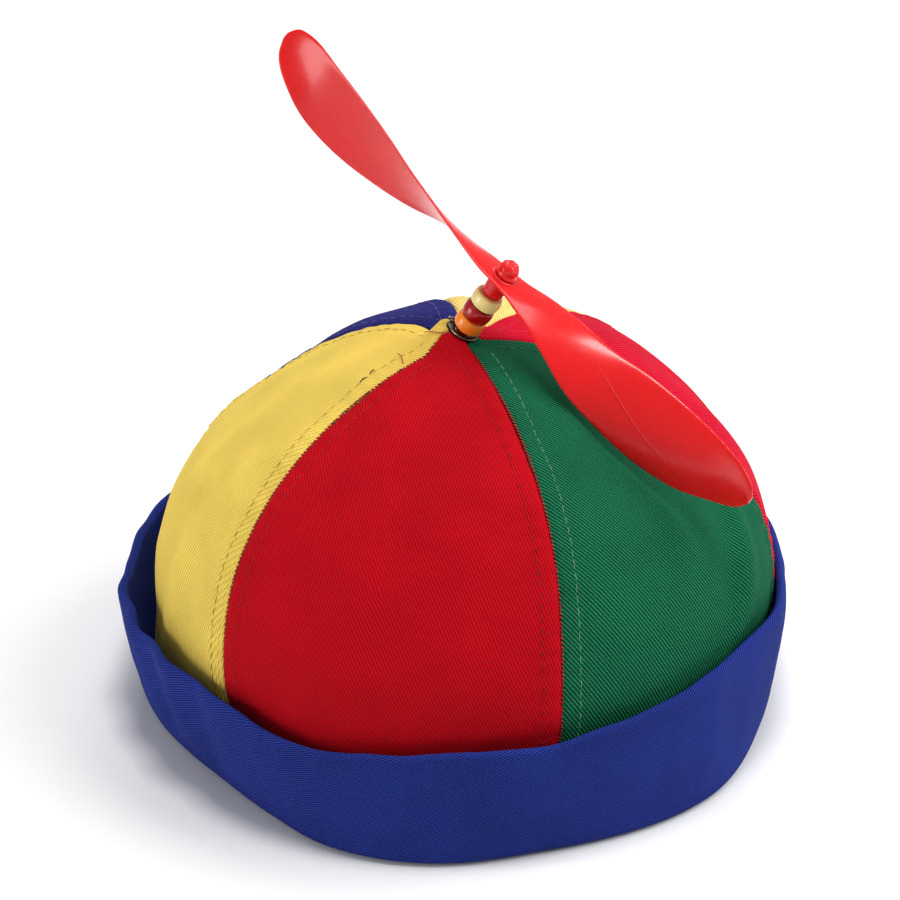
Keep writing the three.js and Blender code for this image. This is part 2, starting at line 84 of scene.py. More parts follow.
# azimuth, how far the folded edge lies outside the ellipse as a share of the half width
footShape = [
    (-95, 0.005), (-75, -0.05), (-62, -0.09), (-50, -0.105), (-36, -0.075), (-22, -0.012),
    (-5, 0.01), (15, -0.014), (46, 0.038), (70, -0.008), (100, 0), (180, 0),
]
# azimuth, exponent of the dome's profile
domeFullness = [(0, 2), (60, 2), (120, 2.15), (200, 2), (270, 1.95)]
# azimuth, height share, turn, rise share, depth share
crownDents = [
    (77, 0.82, 44, 0.16, -0.084), (-6, 0.74, 22, 0.08, -0.016), (-22, 0.56, 16, 0.09, -0.014),
    (66, 0.42, 9, 0.18, 0.016), (48, 0.5, 14, 0.2, -0.008), (262, 0.3, 9, 0.12, -0.02),
    (244, 0.32, 8, 0.14, 0.014), (235, 0.8, 38, 0.2, -0.05), (74, 0.86, 28, 0.13, -0.058),
]
# azimuth, stand-off share, top edge's rise share, bow share
cuffWave = [
    (-50, 0.5, 0.02, 0.1), (-28, 0.4, -0.12, 0.1), (-6, 0.35, -0.02, 0.05), (13, 0.3, 0, 0.1),
    (38, 0.3, 0.1, 0.1), (60, 0.2, 0.15, 0.1), (90, 0.04, 0, 0.05), (135, 0.4, 0, 0.1),
    (190, 0.6, 0.01, 0), (235, 1, 0, 0.1), (270, 1.1, 0.02, 0),
]


def alongTable(rows, place, column=1):  # smooth curve through a table's rows
    table = np.array(rows, float)
    x, y = table[:, 0], table[:, column]
    place = np.clip(np.asarray(place, float), x[0], x[-1])
    row = np.clip(np.searchsorted(x, place) - 1, 0, len(x) - 2)
    before, after = np.maximum(row - 1, 0), np.minimum(row + 2, len(x) - 1)
    span = x[row + 1] - x[row]
    t = (place - x[row]) / span
    low = (y[row + 1] - y[before]) / (x[row + 1] - x[before]) * span
    high = (y[after] - y[row]) / (x[after] - x[row]) * span
    rise = y[row + 1] - y[row]
    return y[row] + t * low + t**2 * (3 * rise - 2 * low - high) + t**3 * (low + high - 2 * rise)


def aroundTable(rows, azimuth, column=1):  # the same for a table that closes on itself
    first = rows[0][0]
    turned = first + np.mod(np.asarray(azimuth, float) - first, 360)
    before = [(rows[-1][0] - 360, *rows[-1][1:])]
    after = [(row[0] + 360, *row[1:]) for row in rows[:2]]
    return alongTable(before + list(rows) + after, turned, column)


def smoothStep(x, low, high):
    t = np.clip((x - low) / (high - low), 0, 1)
    return t * t * (3 - 2 * t)


def bump(x, width):
    return np.exp(-((x / width) ** 2))


def outward(azimuth):
    turn = np.radians(azimuth)
    return np.stack([np.sin(turn), -np.cos(turn), np.zeros_like(turn)], -1)


def ellipseRadius(azimuth, inset=0):
    turn = np.radians(azimuth)
    across = np.sin(turn) / (cap["halfWidth"] - inset)
    return 1 / np.hypot(across, np.cos(turn) / (cap["halfDepth"] - inset))


def swayAt(height):
    return cap["sway"] * alongTable(crownDrift, height / cap["height"])


def swellAt(azimuth, height):
    climb = np.minimum(height / (cuff["shapeReach"] * cuff["height"]), 1)
    foot = cap["halfWidth"] * aroundTable(footShape, azimuth) * (1 - climb * (2 - climb))
    dents = 0
    for middle, share, turn, rise, depth in crownDents:
        aside = (np.mod(azimuth - middle + 180, 360) - 180) / turn
        above = (height / cap["height"] - share) / rise
        dents = dents + depth * domeHeight * np.exp(-aside**2 - above**2)
    return foot + dents * smoothStep(height, cuff["innerLeg"], cuff["height"])


leanWay = outward(cap["leanAzimuth"])
apexAside = cap["sway"] * crownDrift[-1][1]
tiltSlope = math.tan(math.radians(cap["tilt"]))
barrelRadius = 3.0
tipRadius = barrelRadius + cap["wall"] * tiltSlope / 2 + cap["gap"]
clampRadius = cap["flange"] + 2 * cap["gap"]


# A place on the crown's cloth. climb is 0 at the lower edge, 1 at the cuff's top, 2 at the eyelet's flange
# and 3 at the tip.
def crownPlace(azimuth, climb, inset=0):
    azimuth, climb = np.broadcast_arrays(np.asarray(azimuth, float), np.asarray(climb, float))
    rim = ellipseRadius(azimuth, inset)
    power = aroundTable(domeFullness, azimuth)
    flat = np.arccos((clampRadius / rim) ** (power / 2))
    tip = np.arccos((tipRadius / rim) ** (power / 2))
    angle = np.where(climb > 2, flat + (tip - flat) * (climb - 2), flat * np.clip(climb - 1, 0, 1))
    foot = cuff["foldWall"] + cap["gap"]
    onDome = cuff["height"] + (domeHeight - inset) * np.sin(angle) ** (2 / power)
    height = np.where(climb > 1, onDome, foot + (cuff["height"] - foot) * np.minimum(climb, 1))
    away = outward(azimuth)
    place = away * (rim * np.cos(angle) ** (2 / power))[..., None]
    place[..., 0] += swayAt(height)
    place[..., 2] = height
    rise = np.sin(angle)
    swell = swellAt(azimuth, height) * (1 - rise**6)
    place += away * (np.sqrt(1 - rise**2) * swell)[..., None]
    place[..., 2] += rise * swell
    fromApex = place - np.array([apexAside, 0, 0])
    far = np.hypot(fromApex[..., 0], fromApex[..., 1])
    held = clampRadius + cap["gap"]
    share = 1 - smoothStep((far - held) / cap["tiltReach"], 0, 1)
    aside = (fromApex[..., :2] @ leanWay[:2]) * np.minimum(held / np.maximum(far, 1e-6), 1)
    place[..., 2] += share * (cap["lift"] - tiltSlope * aside)
    return place


def seamTurn(seam, climb):  # direction of a seam at a place up the cloth
    up = np.where(climb > 1, 1 + (np.minimum(climb, 2) - 1) * 12 / 13 + np.maximum(climb - 2, 0) / 13, climb)
    bow = seam[2] * np.sin(math.pi * np.clip(up - 1, 0, 1)) ** 2
    return seam[0] + (seam[1] - seam[0]) * (up / 2) ** 2 + bow


def nextSeam(index):
    foot, tip, bow = seams[(index + 1) % 6]
    return (foot, tip, bow) if index < 5 else (foot + 360, tip + 360, bow)


# The cloth's small relief: rolled seam edges, the ridge over each seam allowance, the sunk topstitch rows
seamWork = {
    "roll": 0.9, "rollDepth": 0.75, "ridge": 0.28, "ridgeFrom": (0.4, 1.8), "ridgeTo": (4.0, 5.6),
    "rowAt": 4.5, "groove": 0.2, "grooveWidth": 0.55, "stitch": 2.45, "pitch": 2.75, "pucker": 0.14,
    "linePitch": 1.35, "lineDepth": 0.3,
}
# size, depth and first seed of the cloth's soft unevenness
uneven = [(26, 0.28, 3), (8, 0.07, 30)]
# azimuth, millimetres up from the cuff's top, slant, length, width, depth
softFolds = [
    (-3, 62, 35, 13, 6, -0.9), (-20, 50, 55, 15, 6, -0.8), (-12, 56, 55, 16, 5, 0.5), (-36, 40, 70, 20, 7, -0.4),
    (-8, 26, 60, 22, 8, -0.5), (4, 40, 80, 20, 7, 0.35),
    (66, 18, 46, 20, 3.2, 2.0), (61, 21, 48, 20, 3.5, -1.2), (73, 16, 46, 18, 3, -0.6), (36, 24, 70, 22, 9, -0.7),
    (27, 34, 82, 22, 6, 0.5), (50, 30, 60, 20, 6, 0.45),
    (32, 64, 35, 14, 5, -1.1), (46, 54, 30, 18, 6, -1.1), (40, 44, 60, 20, 7, 0.4), (24, 14, 75, 20, 6, -0.35),
    (-84, 30, 84, 24, 4, 0.5), (-74, 22, 80, 24, 4, -1.2), (-68, 22, 78, 24, 4, 0.8), (-60.5, 22, 80, 22, 4, -0.6),
    (-70, 62, 30, 16, 6, -0.5), (-84, 66, 30, 14, 5, 0.5), (-30, 8, 10, 20, 5, 0.4),
    (110, 26, 75, 24, 7, -0.6), (150, 34, 60, 26, 8, 0.6), (168, 20, 84, 22, 6, -0.6),
    (205, 38, 70, 24, 7, 0.6), (222, 22, 80, 24, 6, -0.7), (243, 34, 66, 22, 6, 0.5),
    (130, 52, 40, 20, 6, -0.4), (190, 58, 30, 20, 7, -0.4),
]


def ripple(place, size, seed):  # soft unevenness of a given size over any points
    draw = random.Random(seed)
    total = 0
    for wave in range(7):
        way = Vector((draw.gauss(0, 1), draw.gauss(0, 1), draw.gauss(0, 1))).normalized()
        length = size * draw.uniform(0.7, 1.5)
        total = total + np.sin(place @ np.array(way) * (2 * math.pi / length) + draw.uniform(0, 6.28))
    return total / 7 * 1.6


def heightOver(climb):  # rough distance up the cloth from the cuff's top
    return np.where(climb > 1, 88 * (climb - 1), (climb - 1) * cuff["height"])


def seamRun(index):  # arc length along a seam, by climb
    climb = np.linspace(0, 3, 900)
    line = crownPlace(seamTurn(seams[index], climb), climb)
    step = np.linalg.norm(np.diff(line, axis=0), axis=1)
    return climb, np.concatenate([[0], np.cumsum(step)])


runs = [seamRun(index) for index in range(6)]
# the cloth sinks a little just left of the eyelet
apexHollow = {"azimuth": 212, "spread": 62, "reach": 9.2, "width": 4.2, "depth": 1.5}


def clothRelief(index, azimuth, climb):
    place = crownPlace(azimuth, climb)
    reach = np.hypot(place[..., 0] - apexAside, place[..., 1])
    first, second = seamTurn(seams[index], climb), seamTurn(nextSeam(index), climb)
    shown = smoothStep(heightOver(climb), -14, -2)
    nearTip = 1 - smoothStep(climb, 1.86, 2.0)
    relief = 0
    for side, turn, run in ((0, azimuth - first, runs[index]), (1, second - azimuth, runs[(index + 1) % 6])):
        far = np.maximum(np.radians(turn) * reach, 0)
        along = np.interp(climb, *run)
        inRoll = np.clip(1 - far / seamWork["roll"], 0, 1)
        relief = relief - seamWork["rollDepth"] * (1 - np.sqrt(1 - inRoll**2))
        ridge = smoothStep(far, *seamWork["ridgeFrom"]) * (1 - smoothStep(far, *seamWork["ridgeTo"]))
        relief = relief + seamWork["ridge"] * ridge * shown * nearTip
        beat = 0.6 + 0.4 * np.cos(2 * math.pi * along / seamWork["pitch"])
        groove = bump(far - seamWork["rowAt"], seamWork["grooveWidth"]) * beat
        relief = relief - seamWork["groove"] * groove * shown * nearTip
        wander = np.sin(along * 1.1 + 2 * np.sin(along * 0.23 + index * 2 + side))
        relief = relief + seamWork["pucker"] * wander * bump(far - 3.2, 3.4) * shown * nearTip
    if index == 5:  # the allowance under the yellow cloth shows as fine lines along its right seam
        far = np.maximum(np.radians(second - azimuth) * reach, 0)
        lines = 0.5 - 0.5 * np.cos(2 * math.pi * (far - 0.6) / seamWork["linePitch"])
        inBand = smoothStep(far, 0.5, 1.1) * (1 - smoothStep(far, 5.4, 6.3))
        relief = relief - seamWork["lineDepth"] * lines * inBand * shown * (1 - smoothStep(climb, 1.5, 1.8))
    above = heightOver(climb)
    for middle, up, slant, length, width, depth in softFolds:
        aside = np.radians(np.mod(azimuth - middle + 180, 360) - 180) * reach
        turn = math.radians(slant)
        run = aside * math.cos(turn) + (above - up) * math.sin(turn)
        across = -aside * math.sin(turn) + (above - up) * math.cos(turn)
        relief = relief + depth * bump(run, length) * bump(across, width) * shown
    calm = 1 - smoothStep(climb, 1.66, 1.86)
    for size, depth, seed in uneven:
        relief = relief + depth * ripple(place, size, seed + index) * shown * calm
    behind = bump(np.mod(azimuth - apexHollow["azimuth"] + 180, 360) - 180, apexHollow["spread"])
    relief = relief - apexHollow["depth"] * behind * bump(reach - apexHollow["reach"], apexHollow["width"])
    return relief


def clothNormal(azimuth, climb):
    low, high = np.maximum(climb - 0.004, 0), np.minimum(climb + 0.004, 3)
    up = crownPlace(azimuth, high) - crownPlace(azimuth, low)
    aside = crownPlace(azimuth + 0.25, climb) - crownPlace(azimuth - 0.25, climb)
    normal = np.cross(aside, up)
    return normal / np.linalg.norm(normal, axis=-1, keepdims=True)


def clothSurface(index, azimuth, climb, lift=0):
    relief = clothRelief(index, azimuth, climb) + lift
    return crownPlace(azimuth, climb) + clothNormal(azimuth, climb) * relief[..., None]


def toFrame(points):  # millimetres of the cap to metres of the frame
    return (np.asarray(points, float) - np.array([*cap["middle"], 0])) * mm


def grainPlaces(points, azimuth):  # the flat cloth's own right and up, in metres, about a gore's middle
    heart = np.array([cap["sway"], 0, 22.0])
    middle = crownPlace(azimuth, 1.35) - heart
    radius = np.linalg.norm(middle)
    middle = middle / radius
    turn = math.radians(azimuth)
    aside = np.array([math.cos(turn), math.sin(turn), 0])
    up = np.cross(middle, aside)
    away = points - heart
    away = away / np.linalg.norm(away, axis=-1, keepdims=True)
    flat = np.stack([away @ aside, away @ up], -1)
    length = np.maximum(np.linalg.norm(flat, axis=-1, keepdims=True), 1e-9)
    return flat / length * np.arccos(np.clip(away @ middle, -1, 1))[..., None] * radius * mm


def newPiece(name, points, faces, material, body="cap"):
    mesh = bpy.data.meshes.new(name)
    mesh.from_pydata([tuple(p) for p in toFrame(points)], [], [tuple(int(i) for i in f) for f in faces])
    mesh.validate()
    mesh.polygons.foreach_set("use_smooth", [True] * len(mesh.polygons))
    mesh.materials.append(material)
    piece = bpy.data.objects.new(name, mesh)
    bpy.context.scene.collection.objects.link(piece)
    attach(piece, body)
    return piece


def giveUv(piece, places):  # places: u and v in metres for each vertex
    layer = piece.data.uv_layers.new(name="clothGrain")
    corner = np.zeros(len(piece.data.loops), int)
    piece.data.loops.foreach_get("vertex_index", corner)
    layer.data.foreach_set("uv", np.asarray(places, np.float32)[corner].ravel())


# Materials


def nodeIn(tree, kind, **settings):
    node = tree.nodes.new(kind)
    for key, value in settings.items():
        setattr(node, key, value)
    return node


def setInputs(node, values):
    for key, value in values.items():
        node.inputs[key].default_value = value


def calc(tree, operation, first, second=None, third=None):
    node = nodeIn(tree, "ShaderNodeMath", operation=operation)
    for slot, value in enumerate((first, second, third)):
        if value is None:
            continue
        if isinstance(value, (int, float)):
            node.inputs[slot].default_value = value
        else:
            tree.links.new(value, node.inputs[slot])
    return node.outputs[0]


def linear(colour):  # 0 to 255 screen colour to the shader's linear one
    parts = [c / 255 for c in colour]
    return tuple(c / 12.92 if c <= 0.04045 else ((c + 0.055) / 1.055) ** 2.4 for c in parts) + (1,)


def ramp(tree, value, stops):
    node = nodeIn(tree, "ShaderNodeValToRGB")
    while len(node.color_ramp.elements) < len(stops):
        node.color_ramp.elements.new(0.5)
    for element, (place, colour) in zip(node.color_ramp.elements, stops):
        element.position = place
        element.color = colour
    tree.links.new(value, node.inputs[0])
    return node.outputs[0]


def shade(colour, factor):
    return tuple(min(c * factor, 1) for c in colour[:3]) + (1,)


def blankMaterial(name):
    material = bpy.data.materials.new(name)
    material.use_nodes = True
    tree = material.node_tree
    return material, tree, tree.nodes["Principled BSDF"]


def noiseIn(tree, place, scale, detail=2.0, rough=0.5, dimensions="3D"):
    node = nodeIn(tree, "ShaderNodeTexNoise", noise_dimensions=dimensions)
    setInputs(node, {"Scale": scale, "Detail": detail, "Roughness": rough})
    if place:
        tree.links.new(place, node.inputs["Vector"])
    return node.outputs[0]


def ownPlace(tree):  # the piece's own coordinates, in metres
    return nodeIn(tree, "ShaderNodeTexCoord").outputs["Object"]


def raiseBy(tree, shader, height, strength, depth):
    raised = nodeIn(tree, "ShaderNodeBump")
    setInputs(raised, {"Strength": strength, "Distance": depth})
    tree.links.new(height, raised.inputs["Height"])
    tree.links.new(raised.outputs[0], shader.inputs["Normal"])


# pitch of the ribs and of the yarn floats in millimetres, depth of the ribs in metres
twill = {
    "pitch": 0.76, "float": 1.25, "floatSlant": 1.6, "yarnShare": 0.24, "fuzzShare": 0.5,
    "depth": 0.00018, "strength": 0.6, "sag": 2.0, "waver": 0.14, "gloss": 0.08, "sheen": 0.05,
}


# Cotton twill: slanting ribs in the cloth's own grain, each rib a chain of short yarn floats. The colour is painted
# darker in the rib valleys and lighter on the rib tops (painted shade and light), with random yarn fuzz mixed in
def twillMaterial(name, colour, dark, light, lean, pitch=twill["pitch"]):
    material, tree, shader = blankMaterial(name)
    grain = nodeIn(tree, "ShaderNodeUVMap", uv_map="clothGrain")
    split = nodeIn(tree, "ShaderNodeSeparateXYZ")
    tree.links.new(grain.outputs[0], split.inputs[0])

    def times(value, factor):
        return calc(tree, "MULTIPLY", value, factor)

    def wave(value):  # 0 to 1
        return calc(tree, "MULTIPLY_ADD", calc(tree, "SINE", value), 0.5, 0.5)

    aside, up = times(split.outputs[0], 1000.0), times(split.outputs[1], 1000.0)
    flat = nodeIn(tree, "ShaderNodeCombineXYZ")
    tree.links.new(aside, flat.inputs[0])
    tree.links.new(up, flat.inputs[1])

    def cloud(scale, detail, rough=0.5):
        return noiseIn(tree, flat.outputs[0], scale, detail, rough, "2D")

    turn = math.radians(lean)
    across = calc(tree, "ADD", times(aside, math.cos(turn)), times(up, math.sin(turn)))
    along = calc(tree, "SUBTRACT", times(up, math.cos(turn)), times(aside, math.sin(turn)))
    sag = times(calc(tree, "SUBTRACT", cloud(0.02, 1.0), 0.5), twill["sag"])
    waver = times(calc(tree, "SUBTRACT", cloud(1.1, 1.0), 0.5), twill["waver"])
    moved = calc(tree, "ADD", calc(tree, "ADD", across, sag), waver)
    ribTop = calc(tree, "POWER", wave(times(moved, 2 * math.pi / pitch)), 0.8)
    step = times(calc(tree, "ADD", along, times(moved, twill["floatSlant"])), 2 * math.pi / twill["float"])
    chain = times(ribTop, calc(tree, "MULTIPLY_ADD", wave(step), twill["yarnShare"], 1 - twill["yarnShare"]))
    fuzz = cloud(2.2, 3.0, 0.6)
    relief = calc(tree, "MULTIPLY_ADD", calc(tree, "SUBTRACT", fuzz, 0.5), twill["fuzzShare"], chain)
    # painted shade and light: the colour darkens where the rib relief is low and lightens where it is high; the fuzz
    # share is random yarn tone
    tone = ramp(tree, relief, [(0.05, shade(colour, dark)), (0.5, colour), (0.95, shade(colour, light))])
    patch = ramp(tree, cloud(0.05, 4.0), [(0.3, (0.9, 0.9, 0.9, 1)), (0.7, (1.07, 1.07, 1.07, 1))])
    mix = nodeIn(tree, "ShaderNodeMix", data_type="RGBA", blend_type="MULTIPLY")
    mix.inputs[0].default_value = 1.0
    tree.links.new(tone, mix.inputs[6])
    tree.links.new(patch, mix.inputs[7])
    tree.links.new(mix.outputs[2], shader.inputs["Base Color"])
    tree.links.new(calc(tree, "MULTIPLY_ADD", fuzz, 0.12, 0.82), shader.inputs["Roughness"])
    setInputs(shader, {
        "Specular IOR Level": twill["gloss"], "Sheen Weight": twill["sheen"], "Sheen Roughness": 0.4,
        "Sheen Tint": shade(colour, 2.0),
    })
    raiseBy(tree, shader, relief, twill["strength"], twill["depth"])
    return material


# Moulded plastic: faint mottling of the colour, slight orange peel, a gloss that varies
def plasticMaterial(name, colour, rough, see, depth, coat):
    material, tree, shader = blankMaterial(name)
    place = ownPlace(tree)
    mottle, peel = noiseIn(tree, place, 60.0, 4.0), noiseIn(tree, place, 420.0)
    tone = ramp(tree, mottle, [(0.3, shade(colour, 0.93)), (0.7, shade(colour, 1.06))])
    tree.links.new(tone, shader.inputs["Base Color"])
    tree.links.new(calc(tree, "MULTIPLY_ADD", peel, 0.12, rough - 0.06), shader.inputs["Roughness"])
    raiseBy(tree, shader, peel, 0.35, depth)
    setInputs(shader, {
        "Subsurface Weight": see, "Subsurface Radius": (0.002, 0.0008, 0.0006), "Subsurface Scale": 1.0,
        "Specular IOR Level": 0.28, "Coat Weight": coat, "Coat Roughness": 0.12,
    })
    return material


# Worn nickel: darker in its scratches
def metalMaterial(name, colour, rough):
    material, tree, shader = blankMaterial(name)
    wear = noiseIn(tree, ownPlace(tree), 900.0, 5.0)
    tone = ramp(tree, wear, [(0.35, shade(colour, 0.55)), (0.6, colour), (0.8, shade(colour, 1.15))])
    tree.links.new(tone, shader.inputs["Base Color"])
    tree.links.new(calc(tree, "MULTIPLY_ADD", wear, 0.3, rough - 0.12), shader.inputs["Roughness"])
    raiseBy(tree, shader, wear, 0.3, 0.00004)
    setInputs(shader, {"Metallic": 1.0})
    return material


def threadMaterial(name, colour):
    material, tree, shader = blankMaterial(name)
    ply = noiseIn(tree, ownPlace(tree), 1500.0)
    tone = ramp(tree, ply, [(0.3, shade(colour, 0.6)), (0.7, shade(colour, 1.15))])
    tree.links.new(tone, shader.inputs["Base Color"])
    setInputs(shader, {"Roughness": 0.7, "Sheen Weight": 0.04})
    return material


# Crown: six gores

gores = {
    "columns": 88, "seamColumns": 150, "wallRows": 26, "domeRows": 118, "tipRows": 5,
    # piece, solid, slot, colour, darkest and lightest of the ribs (painted shade in the rib valleys, painted light on
    # the rib tops), their lean
    "pieces": [
        ("red_front_gore", "panel_red_front", "cloth_red", (176, 4, 20), 0.6, 1.3, 29),
        ("green_gore", "panel_green", "cloth_green", (18, 90, 60), 0.16, 1.8, 20),
        # the right red gore is the same cloth as the front one: its brighter, pinker colour is painted sheen from light
        # striking it at a grazing angle
        ("red_right_gore", "panel_red_right", "cloth_red_bright", (196, 14, 44), 0.5, 1.35, 30),
        ("yellow_back_gore", "panel_yellow_back", "cloth_yellow_pale", (232, 200, 116), 0.66, 1.25, 24),
        ("navy_gore", "panel_blue", "cloth_navy", (36, 36, 104), 0.3, 1.6, 30),
        ("yellow_left_gore", "panel_yellow_left", "cloth_yellow", (226, 196, 90), 0.7, 1.17, 0),
    ],
}


def makeGore(index):
    name, node, slot, colour, dark, light, lean = gores["pieces"][index]
    climb = np.concatenate([
        np.linspace(0, 1, gores["wallRows"], endpoint=False),
        np.linspace(1, 2, gores["domeRows"], endpoint=False),
        np.linspace(2, 3, gores["tipRows"] + 1),
    ])
    half = gores["seamColumns" if index == 5 else "columns"] // 2
    near = 0.5 * (np.arange(half + 1) / half) ** 1.6  # columns crowd towards both seams
    share = np.concatenate([near, 1 - near[:-1][::-1]])
    rows, columns = len(climb), len(share)
    climbs = np.repeat(climb[:, None], columns, 1)
    first, second = seamTurn(seams[index], climbs), seamTurn(nextSeam(index), climbs)
    middle = crownPlace((first + second) / 2, climbs)
    reach = np.hypot(middle[..., 0] - apexAside, middle[..., 1])
    edge = np.degrees(0.1 / reach)
    azimuth = first + edge + (second - first - 2 * edge) * share
    outer = clothSurface(index, azimuth, climbs)
    inner = crownPlace(azimuth, climbs, cap["wall"])
    points = np.concatenate([outer.reshape(-1, 3), inner.reshape(-1, 3)])
    start = rows * columns
    faces = []
    for row in range(rows - 1):
        for column in range(columns - 1):
            a = row * columns + column
            b = a + columns
            faces.append((a, a + 1, b + 1, b))
            faces.append((start + a + 1, start + a, start + b, start + b + 1))
    top = (rows - 1) * columns
    for column in range(columns - 1):
        faces.append((start + column, start + column + 1, column + 1, column))
        faces.append((top + column, top + column + 1, start + top + column + 1, start + top + column))
    for row in range(rows - 1):
        a, b = row * columns, (row + 1) * columns
        faces.append((start + a, a, b, start + b))
        faces.append((a + columns - 1, start + a + columns - 1, start + b + columns - 1, b + columns - 1))
    material = twillMaterial(slot + "_twill", linear(colour), dark, light, lean)
    piece = newPiece(name, points, faces, material)
    low = seamTurn(seams[index], 1.3) + seamTurn(nextSeam(index), 1.3)
    giveUv(piece, grainPlaces(points, float(low) / 2))
    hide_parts(node)


for index in range(6):
    makeGore(index)
print("crown gores made")


def tubeFaces(rings, around, closed=False):  # quads from ring to ring, and both ends of an open tube
    faces = []
    for ring in range(rings if closed else rings - 1):
        low, high = ring * around, (ring + 1) % rings * around
        for corner in range(around):
            after = (corner + 1) % around
            faces.append((low + corner, low + after, high + after, high + corner))
    if not closed:
        faces.append(tuple(reversed(range(around))))
        faces.append(tuple(range((rings - 1) * around, rings * around)))
    return faces


# Threads: every stitch is a short round strand, sunk at both ends
def strandRings(line, radius, sides):  # a tube along a line of points
    line = np.asarray(line, float)
    way = np.gradient(line, axis=0)
    way /= np.linalg.norm(way, axis=1, keepdims=True)
    guide = np.array([0.31, -0.42, 0.85])  # no strand runs this way
    side = np.cross(way, guide)
    side /= np.linalg.norm(side, axis=1, keepdims=True)
    other = np.cross(way, side)
    turn = np.arange(sides) / sides * 2 * math.pi
    radius = np.broadcast_to(radius, len(line))
    rings = line[:, None] + radius[:, None, None] * (
        side[:, None] * np.cos(turn)[None, :, None] + other[:, None] * np.sin(turn)[None, :, None])
    return rings.reshape(-1, 3), tubeFaces(len(line), sides)


def joined(parts):  # many small meshes as one
    points, faces, start = [], [], 0
    for part, its in parts:
        points.append(part)
        faces += [tuple(i + start for i in face) for face in its]
        start += len(part)
    return np.concatenate(points), faces


# seam index, side of the seam (1 is the gore after it), colour, strand radius
topstitch = {
    "clear": 0.9,
    "rows": [
        ("stitches_red_left", 0, 1, (150, 8, 16), 0.085), ("stitches_red_right", 1, -1, (112, 2, 10), 0.08),
        ("stitches_green_left", 1, 1, (124, 160, 124), 0.085), ("stitches_green_right", 2, -1, (70, 124, 90), 0.085),
        ("stitches_red_side_left", 2, 1, (196, 60, 66), 0.09), ("stitches_red_side_right", 3, -1, (160, 12, 34), 0.09),
        ("stitches_pale_left", 3, 1, (206, 170, 92), 0.09), ("stitches_pale_right", 4, -1, (206, 170, 92), 0.09),
        ("stitches_navy_left", 4, 1, (96, 92, 140), 0.09), ("stitches_navy_right", 5, -1, (96, 92, 140), 0.09),
        ("stitches_yellow_left", 5, 1, (190, 152, 62), 0.09), ("stitches_yellow_right", 0, -1, (184, 148, 60), 0.09),
    ],
}


def pointsAt(place, along, rows):  # rows of x, y and z read at a place along a run
    return np.stack([np.interp(place, along, rows[:, axis]) for axis in range(3)], -1)


def rowPlaces(seam, side):
    offset = seamWork["rowAt"]
    climb = np.linspace(0.5, 1.97, 1600)
    turn = seamTurn(seams[seam], climb)
    base = crownPlace(turn, climb)
    reach = np.hypot(base[:, 0] - apexAside, base[:, 1])
    azimuth = turn + side * np.degrees(offset / reach)
    gore = seam if side > 0 else (seam - 1) % 6
    if seam == 0 and side < 0:
        azimuth = azimuth + 360  # the last gore's directions run past a whole turn
    keep = reach > offset * 1.6 + topstitch["clear"]
    return gore, azimuth[keep], climb[keep]


def makeStitches(name, seam, side, colour, radius):
    gore, azimuth, climb = rowPlaces(seam, side)
    pitch, stitch = seamWork["pitch"], seamWork["stitch"]
    along = np.interp(climb, *runs[seam])
    surface = clothSurface(gore, azimuth, climb)
    normal = clothNormal(azimuth, climb)
    draw = random.Random(100 + seam * 2 + side)
    parts = []
    t = np.linspace(0, 1, 7)
    for count in range(math.ceil(along[0] / pitch), math.floor(along[-1] / pitch)):
        start = count * pitch + (pitch - stitch) / 2
        place = start + stitch * draw.uniform(0.92, 1.06) * t
        line, up = pointsAt(place, along, surface), pointsAt(place, along, normal)
        skew = draw.uniform(-0.14, 0.14)
        aside = np.cross(up[0], line[-1] - line[0])
        aside /= np.linalg.norm(aside)
        lift = np.sin(math.pi * t) ** 0.5 * 0.24 - 0.17
        line = line + up * lift[:, None] + aside * ((t - 0.5) * skew)[:, None]
        thick = radius * (0.72 + 0.28 * np.sin(math.pi * t))
        parts.append(strandRings(line, thick, 6))
    points, faces = joined(parts)
    newPiece(name, points, faces, threadMaterial(name + "_thread", linear(colour)))


for name, seam, side, colour, radius in topstitch["rows"]:
    makeStitches(name, seam, side, colour, radius)


# Hand work near the top: short dark stitches over the left red seam, a dark double stitch and loose ends
handWork = {
    "nickPitch": 3.5, "nickFrom": 1.66, "nickTo": 1.97, "nickLength": 1.5, "nick": 0.15,
    "nickColour": (30, 12, 12), "dark": (30, 26, 24), "loose": (168, 40, 26),
    # azimuth, climb and how high above the cloth, point by point
    "strands": [
        ("dark_first_stitch", "dark", 0.13, [(-62.2, 1.796, 0), (-62.6, 1.806, 0.22), (-62.9, 1.816, 0)]),
        ("dark_second_stitch", "dark", 0.13, [(-64.2, 1.824, 0), (-65.4, 1.831, 0.22), (-66.6, 1.838, 0)]),
        ("loose_red_thread", "loose", 0.12, [
            (-50, 1.994, 0.5), (-60, 1.985, 0.4), (-73, 1.978, 0.35), (-88, 1.97, 0.5), (-98, 1.962, 0.9)]),
        ("red_thread_end", "loose", 0.12, [
            (-56, 1.893, 0), (-61, 1.898, 0.6), (-68, 1.902, 0.45), (-72, 1.898, 0.8)]),
    ],
}


def onCloth(azimuth, climb, lift):  # a place over the crown's cloth, whichever gore is there
    for index in range(6):
        first, second = float(seamTurn(seams[index], climb)), float(seamTurn(nextSeam(index), climb))
        turned = first + (azimuth - first) % 360
        if turned <= second:
            return clothSurface(index, np.array(turned), np.array(climb), lift)
    return crownPlace(azimuth, climb)


